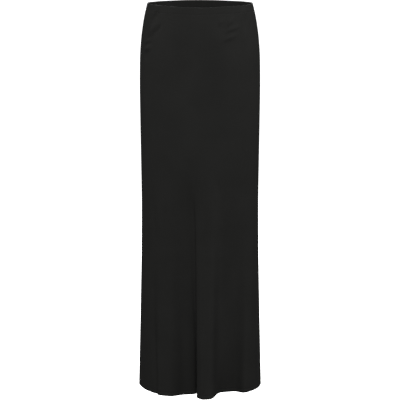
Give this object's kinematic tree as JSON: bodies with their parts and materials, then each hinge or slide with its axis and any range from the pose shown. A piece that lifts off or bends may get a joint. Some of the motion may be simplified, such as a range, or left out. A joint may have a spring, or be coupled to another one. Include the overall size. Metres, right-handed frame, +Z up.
{
  "type": "maxi skirt",
  "caption": "Long straight skirt of plain matt black cloth, open at waist and hem, with soft flutes that grow towards the hem.",
  "frame": {"origin": "centre of the waist opening, level with the top of the side seams", "axes": "+Z up out of the waist, -Y the front, -X the wearer's right side"},
  "size_m": [0.3352, 0.3315, 1.0455],
  "materials": {
    "crepe": "matt black crepe",
    "thread": "black polyester sewing thread"
  },
  "bodies": {
    "root": {"front_panel": "crepe", "back_panel": "crepe", "front_waist_casing": "crepe", "back_waist_casing": "crepe"}
  },
  "joints": []
}
